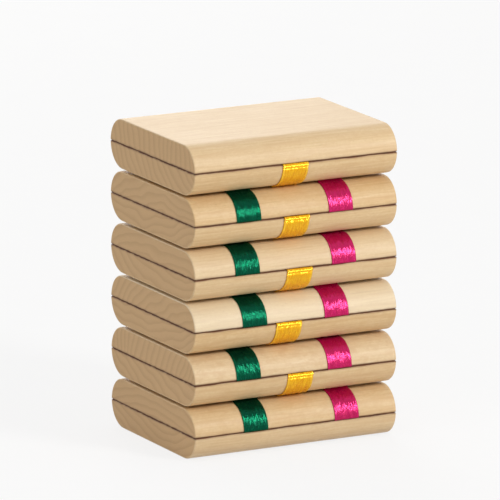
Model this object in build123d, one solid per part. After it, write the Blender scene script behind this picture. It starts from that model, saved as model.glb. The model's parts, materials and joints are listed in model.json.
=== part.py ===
"""A folded Jacob's ladder: six wooden blocks, each glued up from two plies, held together by ribbons.

The frame has X across the blocks, along the grain, -Y to the front, and +Z up. Its origin is under the
middle of the bottom block. Everything is in millimetres.

Each gap between two blocks has three ribbons, which cross one another at the gap's opening end: a green
and a pink one outside, and a yellow one in the middle. Every ribbon starts in the glue line of one block,
goes round that block's rounded end, through the gap, round the far end of the other block and into its
glue line. As a gap opens, the two rounded ends roll on each other, and the ribbons hold them together.
"""

import os

from build123d import *

# Blocks
block_width = 61.5
block_length = 50.0
ply_thickness = 6.75
sawn_edge_chamfer = 0.4

# Ribbons
ribbon_thickness = 0.2
outer_ribbon_width = 7.4
middle_ribbon_width = 7.8
tail_length = 10.0

# The middle lines of the green, yellow and pink ribbon of each gap, from the lowest gap up, as they were
# glued by hand: how far each lies from the middle of the blocks
ribbon_lines = (
    (-12.4, 1.2, 15.4),
    (-14.6, -2.3, 13.2),
    (-12.7, 0.9, 12.2),
    (-14.9, 0.0, 14.4),
    (-14.5, -0.4, 13.4),
)

# Clearances
ribbon_seat = 0.05
crossing_clearance = 0.1
wood_clearance = 0.15
crossing_end_room = 0.3

# The stretch of each ribbon that crosses from one block to the other
crossing_length = 1.5

# What follows from them
block_count = len(ribbon_lines) + 1
glue_line = ribbon_thickness + 2 * ribbon_seat
block_thickness = 2 * ply_thickness + glue_line
end_radius = block_thickness / 2
end_centre = block_length / 2 - end_radius
wrap_inside = end_radius + ribbon_seat
wrap_outside = wrap_inside + ribbon_thickness
hinge_gap = wrap_outside - end_radius + crossing_clearance + ribbon_thickness + wood_clearance
block_pitch = block_thickness + hinge_gap
tail_end = block_length / 2 - tail_length

FRONT, BACK = -1, 1
BELOW, ABOVE = -1, 1


def section_plane():
    """The plane that sections are drawn on: Y to its right, Z up, and extruded along X."""
    return Plane(origin=(0, 0, 0), x_dir=(0, 1, 0), z_dir=(1, 0, 0))


def middle_height(block):
    """The height of a block's glue line. Block 1 is the bottom one."""
    return block_thickness / 2 + (block - 1) * block_pitch


def ply(side):
    """One half of a block: a flat strip whose two outer edges are rounded, sawn off to the block's width."""
    section = SlotOverall(block_length, block_thickness)
    half = Pos(0, side * (glue_line + ply_thickness) / 2) * Rectangle(block_length, ply_thickness)
    strip = extrude(section_plane() * (section & half), block_width / 2, both=True)
    sawn_faces = strip.faces().filter_by(Axis.X)
    return chamfer(sawn_faces.edges(), sawn_edge_chamfer)


def arc_edge(centre_x, centre_y, radius, start, size):
    """Part of a circle, from its start angle and over its size, both in degrees."""
    return CenterArc((centre_x, centre_y), radius, start, size)


def anchor_section():
    """A ribbon's glued tail and the quarter turn round its own block, which lies with its middle at 0.

    The block's opening end is to the right, and the gap above it.
    """
    half = ribbon_thickness / 2
    fold_in = end_centre + (wrap_inside**2 - half**2) ** 0.5
    fold_out = end_centre + wrap_outside
    lower = Polyline((tail_end, half), (tail_end, -half), (fold_out, -half), (fold_out, 0))
    outer = arc_edge(end_centre, 0, wrap_outside, 0, 90)
    top = Line((end_centre, wrap_outside), (end_centre, wrap_inside))
    inner = ThreePointArc(
        (end_centre, wrap_inside),
        (end_centre + wrap_inside * 0.5**0.5, wrap_inside * 0.5**0.5),
        (fold_in, half),
    )
    upper = Line((fold_in, half), (tail_end, half))
    return make_face([*lower.edges(), outer, top, inner, upper])


def crossing_section():
    """The short stretch between the two blocks, close behind the line where their round ends meet."""
    right = end_centre - crossing_end_room
    low = wrap_outside + crossing_clearance
    middle = (right - crossing_length / 2, low + ribbon_thickness / 2)
    return Pos(*middle) * Rectangle(crossing_length, ribbon_thickness)


def run_section():
    """A ribbon's long run on the other block, with the turn round that block's far end and the far tail."""
    half = ribbon_thickness / 2
    start = end_centre - crossing_length - 2 * crossing_end_room
    fold_in = -end_centre - (wrap_inside**2 - half**2) ** 0.5
    fold_out = -end_centre - wrap_outside
    near, far = block_pitch - wrap_outside, block_pitch - wrap_inside
    run_out = Polyline((-end_centre, near), (start, near), (start, far), (-end_centre, far))
    inner = ThreePointArc(
        (-end_centre, far),
        (-end_centre - wrap_inside * 0.5**0.5, block_pitch - wrap_inside * 0.5**0.5),
        (fold_in, block_pitch - half),
    )
    tail = Polyline(
        (fold_in, block_pitch - half),
        (-tail_end, block_pitch - half),
        (-tail_end, block_pitch + half),
        (fold_out, block_pitch + half),
        (fold_out, block_pitch),
    )
    outer = arc_edge(-end_centre, block_pitch, wrap_outside, 180, 90)
    return make_face([*run_out.edges(), inner, *tail.edges(), outer])


def ribbon_piece(section, width, line, near_block, near_side, end):
    """A stretch of ribbon, placed on its near block, which its gap lies ABOVE or BELOW."""
    strip = extrude(section_plane() * section, width / 2, both=True)
    if end == FRONT:
        strip = mirror(strip, Plane.XZ)
    if near_side == BELOW:
        strip = mirror(strip, Plane.XY)
    return Pos(line, 0, middle_height(near_block)) * strip


def opening_end(gap):
    """The gaps open at the front and at the back in turn, so that the ladder opens out straight."""
    return FRONT if gap % 2 else BACK


def outer_near_block(gap):
    """The block whose opening end holds the green and pink ribbon of a gap.

    Those always start at the front of the block under the gap and end at the back of the one over it.
    """
    return gap if opening_end(gap) == FRONT else gap + 1


def write(name, solid):
    export_step(solid, f"parts/{name}.step")


def write_ribbons(gap):
    colours = ("green", "yellow", "pink")
    for colour, line in zip(colours, ribbon_lines[gap - 1]):
        near = outer_near_block(gap)
        width = outer_ribbon_width
        if colour == "yellow":
            near = 2 * gap + 1 - near
            width = middle_ribbon_width
        side = ABOVE if near == gap else BELOW
        placed = (width, line, near, side, opening_end(gap))
        write(f"{colour}_ribbon_{gap}_anchor", ribbon_piece(anchor_section(), *placed))
        write(f"{colour}_ribbon_{gap}_crossing", ribbon_piece(crossing_section(), *placed))
        write(f"{colour}_ribbon_{gap}_run", ribbon_piece(run_section(), *placed))


os.makedirs("parts", exist_ok=True)
for block in range(1, block_count + 1):
    for name, side in (("lower", BELOW), ("upper", ABOVE)):
        write(f"block_{block}_{name}_ply", Pos(0, 0, middle_height(block)) * ply(side))
for gap in range(1, block_count):
    write_ribbons(gap)
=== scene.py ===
"""The looks of a folded Jacob's ladder: six two-ply maple blocks and their coloured satin ribbons.

Everything is in metres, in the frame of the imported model: X across the blocks and along their grain, -Y
to the front, Z up. Sizes are read from the frame, and what the frame doesn't hold is a named value here.
"""

import json
import math
import random

import bpy
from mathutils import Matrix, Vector, noise


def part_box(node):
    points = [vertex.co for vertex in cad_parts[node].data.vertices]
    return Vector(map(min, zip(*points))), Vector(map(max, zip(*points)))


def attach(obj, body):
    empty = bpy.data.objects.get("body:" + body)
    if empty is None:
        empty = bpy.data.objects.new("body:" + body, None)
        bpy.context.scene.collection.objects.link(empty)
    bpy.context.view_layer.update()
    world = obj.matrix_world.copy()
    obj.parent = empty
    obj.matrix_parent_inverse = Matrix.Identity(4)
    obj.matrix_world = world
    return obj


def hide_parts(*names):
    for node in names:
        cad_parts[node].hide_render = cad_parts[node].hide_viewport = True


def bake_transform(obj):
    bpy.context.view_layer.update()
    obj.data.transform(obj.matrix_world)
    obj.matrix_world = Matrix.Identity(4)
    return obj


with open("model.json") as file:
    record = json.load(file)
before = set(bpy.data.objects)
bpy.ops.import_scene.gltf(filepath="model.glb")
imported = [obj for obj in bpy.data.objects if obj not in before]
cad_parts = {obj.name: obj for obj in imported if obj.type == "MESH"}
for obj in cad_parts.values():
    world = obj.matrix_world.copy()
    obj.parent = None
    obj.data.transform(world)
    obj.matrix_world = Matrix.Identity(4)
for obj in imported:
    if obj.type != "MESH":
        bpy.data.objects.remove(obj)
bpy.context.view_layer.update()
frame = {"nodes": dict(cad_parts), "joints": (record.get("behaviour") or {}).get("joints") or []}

MM = 0.001

# The photograph's camera, worked out from its straight edges: a long view, nearly parallel
VIEW_AZIMUTH = math.radians(-27.8)
VIEW_ELEVATION = math.radians(13.1)
VIEW_DISTANCE = 1.969
VIEW_AIM = Vector((-0.8 * MM, 0.4 * MM, 50.4 * MM))
LENS_MM = 522.3
SENSOR_MM = 36

# Edges of the plies: sawn ends sanded by hand, and sharper edges along the glue line. A point of a sanded
# edge counts as sawn where its normal leans far enough along X.
SAWN_EDGE = 0.36 * MM
GLUE_EDGE = 0.2 * MM
EDGE_STEPS = 4
ROUND_STEPS = 30
SAWN_LEAN = 0.95

# Growth rings to the millimetre, and how far they wander to and fro along the grain, in millimetres
RINGS_PER_MM = 0.40
RING_WAVE_MM = 10.0

# The glue between two plies stops short of their edges and goes round the ribbons' tails
STAIN_HEIGHT = 0.32 * MM
GLUE_RECESS = 0.3 * MM
TAIL_ROOM = 0.15 * MM

# A ribbon's section: flat, with a bead along each edge. The bead starts and peaks at two distances from
# the edge, and starts with a share of the ribbon's thickness.
COLOURS = ("green", "yellow", "pink")
RIBBON_THICKNESS = 0.2 * MM
ACROSS_STEPS = 8
SELVEDGE_WIDTH = 0.42 * MM
SELVEDGE_RISE = 0.03 * MM
BEAD_START = 0.05 * MM
BEAD_PEAK = 0.16 * MM
BEAD_START_SHARE = 0.7

# A ribbon's path between two blocks: how far outside the middle of its block's round it leaves that
# round, and how far inside the middle of the next block's round it lies flat. Then each stretch's steps.
CROSSING_REACH = 1.2 * MM
SPREAD_REACH = 0.2 * MM
TAIL_STEPS = 4
FOLD_STEPS = 8
SEAT_STEPS = 8
WRAP_STEPS = 34
CROSSING_STEPS = 8
SPREAD_STEPS = 32
RUN_STEPS = 12

# How far a ribbon wanders sideways, and how quickly along its length
WANDER = 0.07 * MM
WANDER_PER_MM = 0.11

# Weave: threads side by side, the length of their floats, and the spacing of the weft under them
THREADS_PER_MM = 4.0
FLOAT_MM = 1.3
WEFT_MM = 0.36

# How a ribbon comes out of its glue line: the radius of its fold, how far that stands out past the round,
# and the angle round the block's end, in degrees, at which the ribbon has come to lie on the wood
TIGHT_FOLD = (0.35 * MM, 0.0, 6.0)
LOOSE_FOLD = (0.45 * MM, 0.15 * MM, 10.0)
FOLDS = {"green": TIGHT_FOLD, "yellow": LOOSE_FOLD, "pink": TIGHT_FOLD}

# How much a ribbon's threads lean out past its fold, and the distances from the glue line between which
# the lean grows and then dies away
THREAD_LEAN = {"green": 0.0, "yellow": 0.55, "pink": 0.0}
LEAN_GROWS = (0.0, 0.5 * MM)
LEAN_DIES = (1.2 * MM, 2.2 * MM)

# Plies differ in shade, from 0 dark to 1 pale, and in how mottled they are. These are set, and the rest
# are drawn at random.
PLY_TONES = {(3, "upper"): 1.0, (4, "upper"): 0.55, (5, "upper"): 0.15}
PLY_FIGURES = {(2, "upper"): 0.9, (3, "upper"): 0.1}

# Stage and light. The camera and mirrored rays see the floor as mostly white and the world as white.
FLOOR_HALF = 3.0
FLOOR_WHITE_SHARE = 0.80
WORLD_STRENGTH = 0.32
LIGHT_AIM = Vector((0, 0, 50 * MM))
WARM = (1, 0.985, 0.96)

random.seed(6)


def srgb(red, green, blue):
    """A colour as a screen shows it, from 0 to 255, in the linear form that shaders take."""
    linear = []
    for value in (red, green, blue):
        value /= 255
        linear.append(value / 12.92 if value <= 0.04045 else ((value + 0.055) / 1.055) ** 2.4)
    return (*linear, 1)


# Sizes from the frame

JOINTS = {joint["name"]: joint for joint in frame["joints"]}
BLOCK_COUNT = sum(name.endswith("_upper_ply") for name in frame["nodes"])
lower_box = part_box("block_1_lower_ply")
upper_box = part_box("block_1_upper_ply")
BLOCK_WIDTH = lower_box[1].x - lower_box[0].x
GLUE_LINE = upper_box[0].z - lower_box[1].z
END_RADIUS = (upper_box[1].z - lower_box[0].z) / 2
END_CENTRE = abs(JOINTS["gap_1_open"]["pos_m"][1])
anchor_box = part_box("green_ribbon_1_anchor")
WRAP_RADIUS = -anchor_box[0].y - END_CENTRE - RIBBON_THICKNESS / 2
TAIL_END = -anchor_box[1].y
BLOCK_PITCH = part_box("block_2_upper_ply")[0].z - upper_box[0].z


def middle_height(block):
    """The height of the middle of a block's glue line."""
    return (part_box(f"block_{block}_lower_ply")[0].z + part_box(f"block_{block}_upper_ply")[1].z) / 2


# Materials


class Shader:
    """A material and its nodes."""

    def __init__(self, name):
        self.material = bpy.data.materials.new(name)
        self.material.use_nodes = True
        self.tree = self.material.node_tree
        self.surface = self.tree.nodes["Principled BSDF"]

    def add(self, kind, inputs=(), **settings):
        """A node of this kind, with its settings, and its inputs as {name or index: value or socket}."""
        node = self.tree.nodes.new(kind)
        for key, value in settings.items():
            setattr(node, key, value)
        for key, value in dict(inputs).items():
            self.put(node.inputs[key], value)
        return node

    def put(self, socket, value):
        """Links a socket to this input, or sets a plain value on it."""
        if isinstance(value, bpy.types.NodeSocket):
            self.tree.links.new(value, socket)
        else:
            socket.default_value = value

    def finish(self, **inputs):
        """Sets the shader's own inputs, with underscores for spaces in their names."""
        for name, value in inputs.items():
            self.put(self.surface.inputs[name.replace("_", " ")], value)
        return self.material

    def attribute(self, name, output="Vector"):
        return self.add("ShaderNodeAttribute", attribute_name=name).outputs[output]

    def math(self, operation, *values):
        return self.add("ShaderNodeMath", enumerate(values), operation=operation).outputs[0]

    def vector(self, operation, *values):
        return self.add("ShaderNodeVectorMath", enumerate(values), operation=operation).outputs[0]

    def scaled(self, vector, scale, shift=(0, 0, 0)):
        """A vector with each part scaled and moved."""
        inputs = {0: vector, 1: scale, 2: shift}
        return self.add("ShaderNodeVectorMath", inputs, operation="MULTIPLY_ADD").outputs[0]

    def noise(self, vector, detail=2.0, roughness=0.5):
        inputs = {"Vector": vector, "Scale": 1.0, "Detail": detail, "Roughness": roughness}
        return self.add("ShaderNodeTexNoise", inputs).outputs[0]

    def white_noise(self, *parts):
        """A number from 0 to 1 picked at random for every set of parts."""
        place = self.add("ShaderNodeCombineXYZ", enumerate(parts)).outputs[0]
        return self.add("ShaderNodeTexWhiteNoise", {"Vector": place}).outputs["Value"]

    def range(self, value, low, high, to_low=0.0, to_high=1.0, smooth=False):
        """A value between low and high, moved to the range from to_low to to_high."""
        inputs = {0: value, 1: low, 2: high, 3: to_low, 4: to_high}
        kind = "SMOOTHSTEP" if smooth else "LINEAR"
        return self.add("ShaderNodeMapRange", inputs, interpolation_type=kind).outputs[0]

    def mix(self, share, first, second):
        """A colour that goes from the first to the second as the share goes from 0 to 1."""
        node = self.add("ShaderNodeMix", data_type="RGBA")
        self.put(node.inputs[0], share)
        self.put(node.inputs[6], first)
        self.put(node.inputs[7], second)
        return node.outputs[2]

    def ramp(self, value, *stops):
        """A colour ramp of (place, colour) stops."""
        node = self.add("ShaderNodeValToRGB", {0: value})
        elements = node.color_ramp.elements
        while len(elements) < len(stops):
            elements.new(0.5)
        for element, (place, colour) in zip(elements, stops):
            element.position = place
            element.color = colour
        return node.outputs[0]

    def bump(self, height, distance, strength):
        inputs = {"Height": height, "Distance": distance, "Strength": strength}
        return self.add("ShaderNodeBump", inputs).outputs[0]


def maple():
    """Pale sanded maple, solid through and through.

    The grain attribute is a place in the tree in millimetres, with the grain along X, so scales are per
    millimetre. The tone and figure attributes are each ply's own shade and mottling. The sawn attribute
    is 1 on the sawn ends, and the stain attribute is 1 where glue has darkened the glue line's edges.
    """
    wood = Shader("sanded_maple")
    grain = wood.attribute("grain")
    tone = wood.attribute("tone", "Fac")
    figure = wood.attribute("figure", "Fac")
    sawn = wood.attribute("sawn", "Fac")
    stain = wood.attribute("stain", "Fac")

    # Growth rings round a pith far from the board, a little wavy along the grain
    wave = wood.noise(wood.scaled(grain, (0.018, 0.05, 0.05)))
    shift = wood.add("ShaderNodeCombineXYZ", {2: wood.math("MULTIPLY", wave, RING_WAVE_MM)}).outputs[0]
    across = wood.scaled(grain, (0, 1, 1))
    moved = wood.vector("ADD", across, shift)
    radius = wood.add("ShaderNodeVectorMath", {0: moved}, operation="LENGTH").outputs["Value"]
    ring = wood.math("FRACT", wood.math("MULTIPLY", radius, RINGS_PER_MM))
    late = wood.math(
        "MULTIPLY",
        wood.range(ring, 0.35, 0.96, smooth=True),
        wood.range(ring, 1.0, 0.95, smooth=True),
    )

    # Streaks and fibres along the grain, a few short flecks, and soft clouds, mottling and specks
    streaks = wood.noise(wood.scaled(grain, (0.07, 1.7, 1.7)), detail=5.0, roughness=0.62)
    fibres = wood.noise(wood.scaled(grain, (0.45, 8.0, 8.0)), detail=3.0, roughness=0.6)
    flecks = wood.noise(wood.scaled(grain, (0.55, 4.5, 4.5)), detail=1.0)
    flecks = wood.range(flecks, 0.70, 0.78, smooth=True)
    cloud = wood.noise(wood.scaled(grain, (0.05, 0.16, 0.16)), detail=3.0)
    mottle = wood.noise(wood.scaled(grain, (0.36, 0.55, 0.55)), detail=3.0, roughness=0.6)
    blotches = wood.math("MULTIPLY", wood.range(mottle, 0.40, 0.70, smooth=True), figure)
    specks = wood.noise(wood.scaled(grain, (1.2, 1.7, 1.7)), detail=2.0, roughness=0.6)

    # One colour over another, from the streaks up
    colour = wood.ramp(
        wood.range(streaks, 0.32, 0.68),
        (0.0, srgb(199, 163, 111)),
        (0.45, srgb(221, 191, 141)),
        (1.0, srgb(230, 206, 161)),
    )
    colour = wood.mix(wood.math("MULTIPLY", late, 0.40), colour, srgb(200, 156, 106))
    colour = wood.mix(wood.range(cloud, 0.35, 0.70, 0.0, 0.40), colour, srgb(230, 206, 164))
    colour = wood.mix(blotches, colour, srgb(200, 157, 102))
    colour = wood.mix(wood.range(specks, 0.38, 0.68, 0.0, 0.30), colour, srgb(196, 154, 104))
    colour = wood.mix(wood.range(fibres, 0.42, 0.72, 0.0, 0.26), colour, srgb(186, 142, 92))
    colour = wood.mix(wood.math("MULTIPLY", flecks, 0.40), colour, srgb(146, 98, 58))
    pale = wood.mix(0.60, colour, srgb(238, 223, 195))
    dark = wood.mix(0.40, colour, srgb(208, 168, 114))
    colour = wood.mix(tone, dark, pale)

    # The sawn ends drink in more finish: darker, with their pores as dots
    pores = wood.noise(wood.scaled(grain, (0, 8.0, 8.0)), detail=1.0)
    pores = wood.range(pores, 0.60, 0.72, 0.0, 0.45)
    end_colour = wood.mix(wood.math("MULTIPLY", late, 0.3), srgb(208, 170, 120), srgb(172, 128, 82))
    end_colour = wood.mix(pores, end_colour, srgb(150, 107, 68))
    colour = wood.mix(sawn, colour, end_colour)

    # The glue's stain is deeper in some places than in others
    uneven = wood.noise(wood.scaled(grain, (0.15, 0.5, 0.5)), detail=3.0)
    stain = wood.math("MULTIPLY", stain, wood.range(uneven, 0.3, 0.65, 0.4, 1.3))
    colour = wood.mix(stain, colour, srgb(100, 48, 6))

    relief = wood.math("MULTIPLY_ADD", fibres, 0.6, wood.math("MULTIPLY", streaks, 0.8))
    return wood.finish(
        Base_Color=colour,
        Roughness=wood.range(streaks, 0.3, 0.7, 0.52, 0.42),
        Normal=wood.bump(relief, 0.03 * MM, 0.6),
        Specular_IOR_Level=0.35,
    )


def satin(colour, shaded, bright, edge, sheen, metallic, specular, slant):
    """Woven satin ribbon, whose sheen is a ragged band right across it.

    The weave attribute is a place on the ribbon in millimetres, across and along it, and the ribbon's own
    seed. The selvedge attribute is how far the nearer edge is, in millimetres. The lean attribute is how
    far the threads lean out near a fold.
    """
    cloth = Shader(f"{colour}_satin")
    weave = cloth.attribute("weave")
    selvedge = cloth.attribute("selvedge", "Fac")

    # Every thread lies on top in short floats, each a little different, over a fine weft
    across, along, seed = cloth.add("ShaderNodeSeparateXYZ", {0: weave}).outputs
    thread = cloth.math("FLOOR", cloth.math("MULTIPLY", across, THREADS_PER_MM))
    start = cloth.math("MULTIPLY", cloth.white_noise(thread, seed), 9.0)
    float_number = cloth.math("FLOOR", cloth.math("MULTIPLY_ADD", along, 1 / FLOAT_MM, start))
    floats = cloth.white_noise(thread, float_number, seed)
    threads = cloth.noise(cloth.scaled(weave, (3.9, 0.40, 1)), detail=1.0)
    fine = cloth.noise(cloth.scaled(weave, (8.5, 1.1, 1), (7, 3, 2)), detail=1.0)
    weft = cloth.math("SINE", cloth.math("MULTIPLY", along, 2 * math.pi / WEFT_MM))

    # Colour: uneven threads, and a brighter one down each edge
    border = cloth.math(
        "MULTIPLY",
        cloth.range(selvedge, 0.10, 0.30, smooth=True),
        cloth.range(selvedge, 0.62, 0.45, smooth=True),
    )
    shade = cloth.math("MULTIPLY_ADD", threads, 0.5, cloth.math("MULTIPLY", fine, 0.5))
    base = cloth.mix(cloth.range(shade, 0.36, 0.64), shaded, bright)
    base = cloth.mix(cloth.math("MULTIPLY", border, 0.35), base, edge)

    # The normal follows the threads' relief, and then turns along the ribbon by each float's own slant
    relief = cloth.math("MULTIPLY_ADD", fine, 0.55, threads)
    relief = cloth.math("MULTIPLY_ADD", weft, 0.05, relief)
    bumped = cloth.bump(relief, 0.06 * MM, 0.8)
    sideways = cloth.add("ShaderNodeCombineXYZ", {0: 1.0}).outputs[0]
    lengthways = cloth.vector("CROSS_PRODUCT", sideways, bumped)
    turned = cloth.math(
        "ADD",
        cloth.range(threads, 0.25, 0.75, -slant / 2, slant / 2),
        cloth.range(floats, 0.0, 1.0, -slant, slant),
    )
    turned = cloth.math("ADD", turned, cloth.attribute("lean", "Fac"))
    scaled = cloth.add("ShaderNodeVectorMath", {0: lengthways, "Scale": turned}, operation="SCALE")
    normal = cloth.vector("NORMALIZE", cloth.vector("ADD", bumped, scaled.outputs[0]))
    return cloth.finish(
        Base_Color=base,
        Metallic=metallic,
        Specular_IOR_Level=specular,
        Specular_Tint=sheen,
        Roughness=cloth.range(fine, 0.3, 0.7, 0.28, 0.18),
        Anisotropic=0.7,
        Tangent=sideways,
        Normal=normal,
    )


def glue():
    """Dried wood glue, amber and uneven, deep in the line between two plies."""
    film = Shader("dried_glue")
    place = film.add("ShaderNodeTexCoord").outputs["Object"]
    lumps = film.noise(film.scaled(place, (900, 900, 900)), detail=3.0)
    return film.finish(
        Base_Color=film.mix(lumps, srgb(62, 32, 8), srgb(112, 64, 20)),
        Roughness=film.range(lumps, 0.3, 0.7, 0.35, 0.6),
        Normal=film.bump(lumps, 0.05 * MM, 0.5),
    )


MAPLE = maple()
GLUE = glue()
SATIN = {
    "green": satin(
        "green", srgb(12, 52, 42), srgb(2, 74, 50), srgb(8, 88, 60),
        sheen=srgb(60, 255, 170), metallic=0.7, specular=0.5, slant=0.12,
    ),
    "yellow": satin(
        "yellow", srgb(218, 142, 2), srgb(248, 190, 24), srgb(255, 226, 90),
        sheen=srgb(255, 240, 140), metallic=0.4, specular=1.0, slant=0.17,
    ),
    "pink": satin(
        "pink", srgb(170, 0, 56), srgb(192, 0, 86), srgb(206, 20, 110),
        sheen=srgb(226, 186, 255), metallic=0.4, specular=0.75, slant=0.11,
    ),
}


# Meshes


def new_piece(name, vertices, faces, material, attributes=()):
    """A smooth-shaded mesh with attributes given as {name: one number or vector per vertex}."""
    mesh = bpy.data.meshes.new(name)
    mesh.from_pydata(vertices, [], faces)
    mesh.materials.append(material)
    mesh.shade_smooth()
    for key, values in dict(attributes).items():
        vector = hasattr(values[0], "__len__")
        layer = mesh.attributes.new(key, "FLOAT_VECTOR" if vector else "FLOAT", "POINT")
        if vector:
            layer.data.foreach_set("vector", [part for value in values for part in value])
        else:
            layer.data.foreach_set("value", values)
    piece = bpy.data.objects.new(name, mesh)
    bpy.context.scene.collection.objects.link(piece)
    return piece


def ply_outline(inset):
    """An upper ply's outline seen along -X, as (y, z, outward y, outward z). Its block's middle is at 0."""
    radius = END_RADIUS - inset
    floor = GLUE_LINE / 2
    edge_angle = math.asin((floor + GLUE_EDGE) / (radius - GLUE_EDGE))
    edge_y = END_CENTRE + (radius - GLUE_EDGE) * math.cos(edge_angle)
    outline = []
    for step in range(EDGE_STEPS):
        angle = -math.pi / 2 + (edge_angle + math.pi / 2) * step / EDGE_STEPS
        y = edge_y + GLUE_EDGE * math.cos(angle)
        z = floor + GLUE_EDGE + GLUE_EDGE * math.sin(angle)
        outline.append((y, z, math.cos(angle), math.sin(angle)))
    for step in range(ROUND_STEPS + 1):
        angle = edge_angle + (math.pi / 2 - edge_angle) * step / ROUND_STEPS
        y = END_CENTRE + radius * math.cos(angle)
        outline.append((y, radius * math.sin(angle), math.cos(angle), math.sin(angle)))
    return outline + [(-y, z, -out_y, out_z) for y, z, out_y, out_z in reversed(outline)]


def make_ply(block, side):
    """A ply: half a block with half-round ends, its sawn ends rounded off, and the grain along X."""
    upright = 1 if side == "upper" else -1
    stations = []
    for step in range(EDGE_STEPS + 1):
        angle = math.pi / 2 * step / EDGE_STEPS
        x = BLOCK_WIDTH / 2 - SAWN_EDGE + SAWN_EDGE * math.sin(angle)
        stations.append((x, SAWN_EDGE * (1 - math.cos(angle)), math.sin(angle)))
    stations = [(-x, inset, -lean) for x, inset, lean in reversed(stations)] + stations

    # This ply's place in the tree: most are cut flat, and some nearer to the rays
    turn = random.uniform(-0.5, 0.5) + random.choice((0, 0, 0, 1.2))
    start = Vector((random.uniform(0, 900), random.uniform(-20, 20), random.uniform(35, 90)))
    tone = PLY_TONES.get((block, side), random.uniform(0.15, 0.6))
    figure = PLY_FIGURES.get((block, side), random.uniform(0.1, 0.45))

    height = middle_height(block)
    vertices, normals, grain, sawn, stain = [], [], [], [], []
    for x, inset, lean in stations:
        for y, z, out_y, out_z in ply_outline(inset):
            vertices.append((x, y, height + upright * z))
            level = math.sqrt(1 - lean * lean)
            normals.append((lean, level * out_y, level * upright * out_z))
            turned_y = y * math.cos(turn) - z * math.sin(turn)
            turned_z = y * math.sin(turn) + z * math.cos(turn)
            grain.append(Vector((x, turned_y, turned_z)) / MM + start)
            sawn.append(float(abs(lean) > SAWN_LEAN))
            stain.append(max(0.0, 1 - (z - GLUE_LINE / 2) / STAIN_HEIGHT))

    # Both sawn ends are rows of four-sided faces, and the rest goes round from station to station
    count = len(vertices) // len(stations)
    last = len(vertices) - count
    faces = []
    for point in range(count // 2 - 1):
        row = (point, point + 1, count - 2 - point, count - 1 - point)
        faces.append(tuple(reversed(row)))
        faces.append(tuple(last + corner for corner in row))
    for station in range(len(stations) - 1):
        for point in range(count):
            first = station * count + point
            second = station * count + (point + 1) % count
            faces.append((first, second, second + count, first + count))
    if upright < 0:
        faces = [tuple(reversed(face)) for face in faces]
    attributes = {"grain": grain, "sawn": sawn, "stain": stain}
    attributes |= {"tone": [tone] * len(vertices), "figure": [figure] * len(vertices)}
    piece = new_piece(f"maple_{block}_{side}", vertices, faces, MAPLE, attributes)
    piece.data.normals_split_custom_set_from_vertices(normals)
    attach(piece, f"block_{block}")
    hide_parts(f"block_{block}_{side}_ply")


# Ribbons. A ribbon's path is worked out in its own plane, as points (a, b). Here a runs from the middle
# of the blocks towards the end where the gap opens, and b runs from the near block, which holds the
# ribbon's start, towards the far block. The middle of the near block's glue line is (0, 0).


def near_is_lower(colour, gap):
    """Whether a ribbon starts on the lower block of its gap.

    Green and pink do where the gap opens at the front, and yellow where it opens at the back.
    """
    opens_at_front = JOINTS[f"gap_{gap}_open"]["pos_m"][1] < 0
    return opens_at_front == (colour != "yellow")


def arc_points(centre, radius, start, end, steps):
    """Points along an arc, with angles in degrees."""
    a, b = centre
    points = []
    for step in range(steps + 1):
        angle = math.radians(start + (end - start) * step / steps)
        points.append(Vector((a + radius * math.cos(angle), b + radius * math.sin(angle))))
    return points


def ease(part):
    return part * part * (3 - 2 * part)


def eased_range(value, low, high):
    """The smooth blend from 0 at low to 1 at high."""
    return ease(min(max((value - low) / (high - low), 0.0), 1.0))


def unease(weight):
    """The part at which ease has this weight."""
    return 0.5 - math.sin(math.asin(1 - 2 * weight) / 3)


def tail_points(radius, bulge, seat_angle):
    """A ribbon's tail: flat in the glue line, round its fold, and onto the round of its block's end."""
    fold_reach = END_CENTRE + WRAP_RADIUS + bulge - radius
    points = []
    for step in range(TAIL_STEPS + 1):
        points.append(Vector((TAIL_END + (fold_reach - TAIL_END) * step / TAIL_STEPS, 0)))
    points += arc_points((fold_reach, radius), radius, -90, 0, FOLD_STEPS)[1:]

    # A curve from the fold to the round that has the right heading at both ends
    seat = math.radians(seat_angle)
    first = points[-1]
    last = Vector((END_CENTRE + WRAP_RADIUS * math.cos(seat), WRAP_RADIUS * math.sin(seat)))
    pull = (last - first).length
    first_pull = Vector((0, pull))
    last_pull = Vector((-math.sin(seat), math.cos(seat))) * pull
    for step in range(1, SEAT_STEPS + 1):
        part = step / SEAT_STEPS
        spot = first.lerp(last, ease(part)) + first_pull * part * (1 - part) ** 2
        points.append(spot - last_pull * part * part * (1 - part))
    return points


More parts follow.
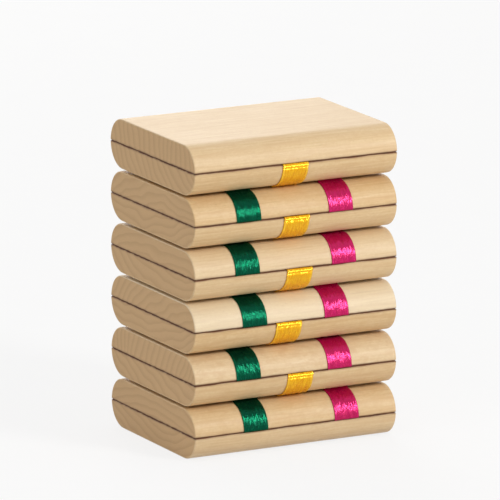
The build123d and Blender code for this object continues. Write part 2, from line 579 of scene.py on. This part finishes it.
def ribbon_paths(radius, bulge, seat_angle):
    """A ribbon's four stretches, as (name, points, lengths along the ribbon)."""
    level = BLOCK_PITCH - WRAP_RADIUS
    tail = tail_points(radius, bulge, seat_angle)
    leaving_angle = math.degrees(math.acos(CROSSING_REACH / WRAP_RADIUS))
    wrap = arc_points((END_CENTRE, 0), WRAP_RADIUS, seat_angle, leaving_angle, WRAP_STEPS)
    crossing = []
    for step in range(CROSSING_STEPS + 1):
        part = step / CROSSING_STEPS
        reach = CROSSING_REACH * (1 - part)
        on_round = math.sqrt(WRAP_RADIUS**2 - reach * reach)
        crossing.append(Vector((END_CENTRE + reach, on_round + (level - on_round) * ease(part))))
    spread_end = END_CENTRE - SPREAD_REACH
    spread = []
    for step in range(1, SPREAD_STEPS + 1):
        spread.append(Vector((END_CENTRE - SPREAD_REACH * unease(step / SPREAD_STEPS), level)))
    run = []
    for step in range(RUN_STEPS + 1):
        run.append(Vector((spread_end + (-END_CENTRE - spread_end) * step / RUN_STEPS, level)))
    run += arc_points((-END_CENTRE, BLOCK_PITCH), WRAP_RADIUS, -90, -180 + seat_angle, WRAP_STEPS)[1:]
    run += [Vector((-point.x, BLOCK_PITCH - point.y)) for point in reversed(tail)][1:]

    stretches, length = [], 0.0
    for name, points in (("tail", tail), ("wrap", wrap), ("crossing", crossing + spread), ("run", run)):
        lengths = [length]
        for index in range(1, len(points)):
            if name == "crossing" and index >= len(crossing):
                # Opened out, this short stretch lies on a quarter of the far block's round
                length += WRAP_RADIUS * math.pi / 2 / SPREAD_STEPS
            else:
                length += (points[index] - points[index - 1]).length
            lengths.append(length)
        stretches.append((name, points, lengths))
    return stretches


# Every colour's path, from one end of the ribbon to the other
PATHS = {colour: ribbon_paths(*fold) for colour, fold in FOLDS.items()}


def across_places(width):
    """Places across a ribbon, closer together at its thicker edges, as (place, half thickness)."""
    half = RIBBON_THICKNESS / 2
    inner = width / 2 - SELVEDGE_WIDTH
    places = [
        (-width / 2 + BEAD_START, half * BEAD_START_SHARE),
        (-width / 2 + BEAD_PEAK, half + SELVEDGE_RISE),
        (-inner, half),
    ]
    for step in range(1, ACROSS_STEPS):
        places.append((-inner + 2 * inner * step / ACROSS_STEPS, half))
    places += [(-place, thick) for place, thick in reversed(places[:3])]
    return places


def end_heading(name, first, point):
    """The exact heading at a stretch's first or last point, so that its neighbour meets it squarely."""
    round_heading = Vector((-point.y, point.x - END_CENTRE)).normalized()
    exact = {
        ("tail", True): Vector((1, 0)),
        ("tail", False): round_heading,
        ("wrap", True): round_heading,
        ("wrap", False): round_heading,
        ("crossing", True): round_heading,
        ("crossing", False): Vector((-1, 0)),
        ("run", True): Vector((-1, 0)),
        ("run", False): Vector((1, 0)),
    }
    return exact[name, first]


class RibbonPlace:
    """Where a ribbon lies: its middle and width along X, which way its path runs, and its two blocks."""

    def __init__(self, colour, gap):
        near_lower = near_is_lower(colour, gap)
        low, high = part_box(f"{colour}_ribbon_{gap}_anchor")
        self.middle, self.width = (low.x + high.x) / 2, high.x - low.x
        self.along_y = math.copysign(1, JOINTS[f"gap_{gap}_open"]["pos_m"][1])
        self.along_z = 1 if near_lower else -1
        self.near_height = middle_height(gap if near_lower else gap + 1)
        self.near = f"block_{gap if near_lower else gap + 1}"
        self.far = f"block_{gap + 1 if near_lower else gap}"

    def spot(self, point):
        """Where a point of the path is in the model, at the middle of the ribbon's width."""
        return (self.middle, self.along_y * point.x, self.near_height + self.along_z * point.y)


def make_stretch(name, points, lengths, colour, gap, place, seed):
    """One stretch of a ribbon: a closed strip, beaded along its edges, that wanders a little sideways."""
    half_width = place.width / 2
    across = across_places(place.width)
    ring = [(-half_width, 0.0), *across, (half_width, 0.0)]
    ring += [(sideways, -thick) for sideways, thick in reversed(across)]

    vertices, weave, selvedge, leans = [], [], [], []
    for index, point in enumerate(points):
        from_glue = min(point.y, BLOCK_PITCH - point.y)
        lean = eased_range(from_glue, *LEAN_GROWS) * (1 - eased_range(from_glue, *LEAN_DIES))
        lean *= -place.along_y * place.along_z * THREAD_LEAN[colour]
        before, after = points[max(index - 1, 0)], points[min(index + 1, len(points) - 1)]
        heading = (after - before).normalized()
        if index in (0, len(points) - 1):
            heading = end_heading(name, index == 0, point)
        outward = Vector((heading.y, -heading.x))
        length = lengths[index] / MM
        wander = WANDER * noise.noise(Vector((length * WANDER_PER_MM, seed, 0.5)))
        for sideways, thick in ring:
            x, y, z = place.spot(point + outward * thick)
            vertices.append((x + sideways + wander, y, z))
            weave.append((sideways / MM, length, seed))
            selvedge.append((half_width - abs(sideways)) / MM)
            leans.append(lean)

    count = len(ring)
    faces = [tuple(range(count)), tuple(reversed(range(len(vertices) - count, len(vertices))))]
    for station in range(len(points) - 1):
        for corner in range(count):
            first = station * count + corner
            second = station * count + (corner + 1) % count
            faces.append((first, first + count, second + count, second))
    if place.along_y * place.along_z < 0:
        faces = [tuple(reversed(face)) for face in faces]
    attributes = {"weave": weave, "selvedge": selvedge, "lean": leans}
    piece = new_piece(f"{colour}_satin_{gap}_{name}", vertices, faces, SATIN[colour], attributes)
    for edge in piece.data.edges:
        stations = {corner // count for corner in edge.vertices}
        edge.use_edge_sharp = stations in ({0}, {len(points) - 1})
    return piece


def make_ribbon(colour, gap):
    """A ribbon in four stretches.

    The tail goes with the near block, in its glue line, and the run with the far block. The wrap round the
    near block's end and the crossing onto the far block's round stay where they are built.
    """
    place = RibbonPlace(colour, gap)
    seed = random.uniform(0, 500)
    node = f"{colour}_ribbon_{gap}"
    for name, points, lengths in PATHS[colour]:
        piece = make_stretch(name, points, lengths, colour, gap, place, seed)
        if name == "tail":
            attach(piece, place.near)
            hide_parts(f"{node}_anchor")
        elif name == "wrap":
            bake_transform(piece)
            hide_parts(f"{node}_anchor")
        elif name == "crossing":
            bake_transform(piece)
            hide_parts(f"{node}_crossing")
        else:
            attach(piece, place.far)
            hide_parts(f"{node}_run")


def make_glue(block):
    """The glue between a block's plies: one thin sheet with a notch for each ribbon's tail."""
    left, right = -BLOCK_WIDTH / 2 + GLUE_RECESS, BLOCK_WIDTH / 2 - GLUE_RECESS
    reach = END_CENTRE + END_RADIUS - GLUE_RECESS
    inner = TAIL_END - TAIL_ROOM
    outline = []
    for end in (-1, 1):
        notches = []
        for colour in COLOURS:
            for gap in (block - 1, block):
                if not 1 <= gap < BLOCK_COUNT:
                    continue
                opens_here = JOINTS[f"gap_{gap}_open"]["pos_m"][1] * end > 0
                starts_here = (gap == block) == near_is_lower(colour, gap)
                if opens_here == starts_here:
                    low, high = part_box(f"{colour}_ribbon_{gap}_anchor")
                    notches.append((low.x - TAIL_ROOM, high.x + TAIL_ROOM))
        edge = [(left, end * reach)]
        for low, high in sorted(notches):
            edge += [(low, end * reach), (low, end * inner), (high, end * inner), (high, end * reach)]
        edge.append((right, end * reach))
        outline += edge if end < 0 else list(reversed(edge))
    height = middle_height(block)
    count = len(outline)
    vertices = []
    for level in (height - GLUE_LINE / 2, height + GLUE_LINE / 2):
        vertices += [(x, y, level) for x, y in outline]
    faces = [tuple(reversed(range(count))), tuple(range(count, 2 * count))]
    for point in range(count):
        following = (point + 1) % count
        faces.append((point, following, following + count, point + count))
    piece = new_piece(f"glue_{block}", vertices, faces, GLUE)
    piece.data.shade_flat()
    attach(piece, f"block_{block}")


for block in range(1, BLOCK_COUNT + 1):
    for side in ("lower", "upper"):
        make_ply(block, side)
    make_glue(block)
for gap in range(1, BLOCK_COUNT):
    for colour in COLOURS:
        make_ribbon(colour, gap)


# Stage, light and camera


def direction(azimuth, elevation):
    """The direction from the object at this azimuth and elevation, in radians."""
    level = math.cos(elevation)
    return Vector((math.sin(azimuth) * level, -math.cos(azimuth) * level, math.sin(elevation)))


def make_floor():
    """A plain pale floor that is close to white for the camera, and keeps the object's shadow."""
    floor = Shader("pale_floor")
    tree = floor.tree
    path = floor.add("ShaderNodeLightPath")
    seen = floor.math("MAXIMUM", path.outputs["Is Camera Ray"], path.outputs["Is Glossy Ray"])
    seen = floor.math("MAXIMUM", seen, path.outputs["Is Transmission Ray"])
    white = floor.add("ShaderNodeEmission", {"Color": (1, 1, 1, 1), "Strength": 1.0})
    speckle = floor.noise(floor.scaled(floor.add("ShaderNodeTexCoord").outputs["Object"], (60, 60, 60)))
    floor.finish(
        Base_Color=floor.mix(speckle, (0.80, 0.80, 0.80, 1), (0.84, 0.84, 0.84, 1)),
        Roughness=0.9,
        Specular_IOR_Level=0.1,
    )
    blend = floor.add("ShaderNodeMixShader", {0: floor.math("MULTIPLY", seen, FLOOR_WHITE_SHARE)})
    tree.links.new(floor.surface.outputs[0], blend.inputs[1])
    tree.links.new(white.outputs[0], blend.inputs[2])
    tree.links.new(blend.outputs[0], tree.nodes["Material Output"].inputs["Surface"])
    low, high = -FLOOR_HALF, FLOOR_HALF
    corners = [(low, low, 0), (high, low, 0), (high, high, 0), (low, high, 0)]
    piece = new_piece("floor", corners, [(0, 1, 2, 3)], floor.material)


def make_light(name, azimuth, elevation, distance, size, watts, colour=(1, 1, 1)):
    """A square soft light aimed at the object, from this azimuth and elevation in degrees."""
    lamp = bpy.data.lights.new(name, "AREA")
    lamp.size = size
    lamp.energy = watts
    lamp.color = colour
    light = bpy.data.objects.new(name, lamp)
    back = direction(math.radians(azimuth), math.radians(elevation))
    light.location = LIGHT_AIM + back * distance
    light.rotation_mode = "QUATERNION"
    light.rotation_quaternion = (-back).to_track_quat("-Z", "Y")
    bpy.context.scene.collection.objects.link(light)


def make_world():
    """A plain world: soft light for the object, and white for the camera and for mirrored rays."""
    world = bpy.data.worlds.new("studio")
    world.use_nodes = True
    bpy.context.scene.world = world
    tree = world.node_tree
    tree.nodes.clear()
    path = tree.nodes.new("ShaderNodeLightPath")
    seen = path.outputs["Is Camera Ray"]
    for ray in ("Is Glossy Ray", "Is Transmission Ray"):
        either = tree.nodes.new("ShaderNodeMath")
        either.operation = "MAXIMUM"
        tree.links.new(seen, either.inputs[0])
        tree.links.new(path.outputs[ray], either.inputs[1])
        seen = either.outputs[0]
    strength = tree.nodes.new("ShaderNodeMapRange")
    strength.inputs["To Min"].default_value = WORLD_STRENGTH
    strength.inputs["To Max"].default_value = 1.0
    tree.links.new(seen, strength.inputs[0])
    background = tree.nodes.new("ShaderNodeBackground")
    tree.links.new(strength.outputs[0], background.inputs["Strength"])
    background.inputs["Color"].default_value = (1, 1, 1, 1)
    output = tree.nodes.new("ShaderNodeOutputWorld")
    tree.links.new(background.outputs[0], output.inputs["Surface"])


def make_camera():
    """The photograph's camera."""
    lens = bpy.data.cameras.new("photo_camera")
    lens.lens = LENS_MM
    lens.sensor_width = SENSOR_MM
    camera = bpy.data.objects.new("photo_camera", lens)
    back = direction(VIEW_AZIMUTH, VIEW_ELEVATION)
    camera.location = VIEW_AIM + back * VIEW_DISTANCE
    camera.rotation_mode = "QUATERNION"
    camera.rotation_quaternion = (-back).to_track_quat("-Z", "Y")
    bpy.context.scene.collection.objects.link(camera)
    bpy.context.scene.camera = camera


make_floor()
make_world()
make_light("key", azimuth=28, elevation=28, distance=0.9, size=0.2, watts=4.0, colour=WARM)
make_light("low", azimuth=12, elevation=8, distance=0.9, size=0.2, watts=0.5, colour=WARM)
make_light("fill", azimuth=-70, elevation=26, distance=1.2, size=0.9, watts=2.4, colour=(1, 0.99, 0.98))
make_light("top", azimuth=0, elevation=88, distance=1.1, size=0.8, watts=1.9)
make_light("back", azimuth=170, elevation=26, distance=1.2, size=0.9, watts=6.2, colour=WARM)
make_camera()
bpy.context.scene.view_settings.view_transform = "Standard"
